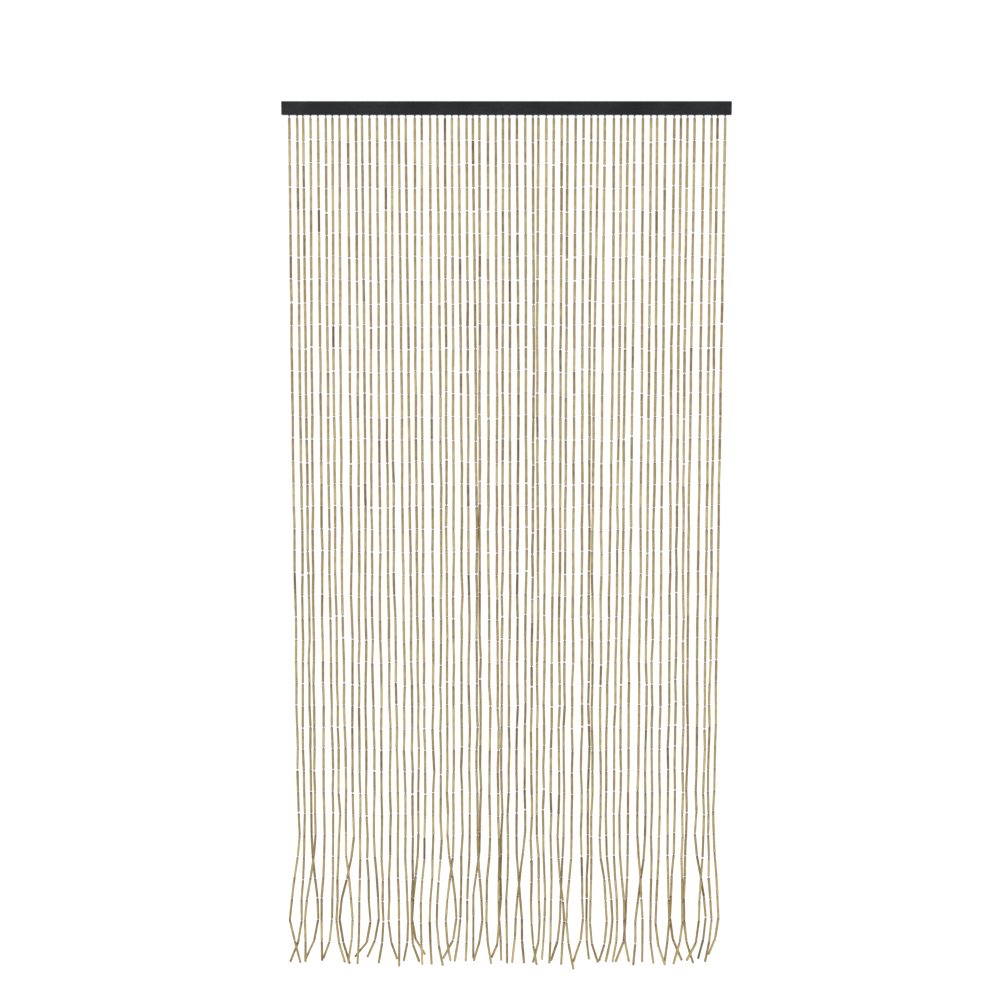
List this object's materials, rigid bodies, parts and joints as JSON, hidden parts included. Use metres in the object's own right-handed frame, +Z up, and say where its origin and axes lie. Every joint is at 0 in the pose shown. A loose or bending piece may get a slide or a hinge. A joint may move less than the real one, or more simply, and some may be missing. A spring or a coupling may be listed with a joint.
{
  "type": "bead curtain with rail",
  "caption": "Doorway bead curtain: straight strands of slim bamboo tubes hooked end to end by wire eyes, hanging from a black wooden slat rail.",
  "frame": {"origin": "middle of the rail's flat top face, where the lintel or door frame holds it", "axes": "+Z up, out of the rail's top face; the strands hang towards -Z; X along the rail; the curtain is seen from -Y, and its two sides are alike"},
  "size_m": [0.9075, 0.0168, 1.8004],
  "materials": {
    "black_paint": "wood slat painted satin black, faint grain, a little worn on the edges",
    "bamboo": "natural unvarnished bamboo cane, pale straw to light brown, fine lengthwise fibres",
    "wire": "thin plain steel wire bent into eyes"
  },
  "bodies": {
    "root": {"rail": "black_paint", "strands": "bamboo"}
  },
  "joints": []
}
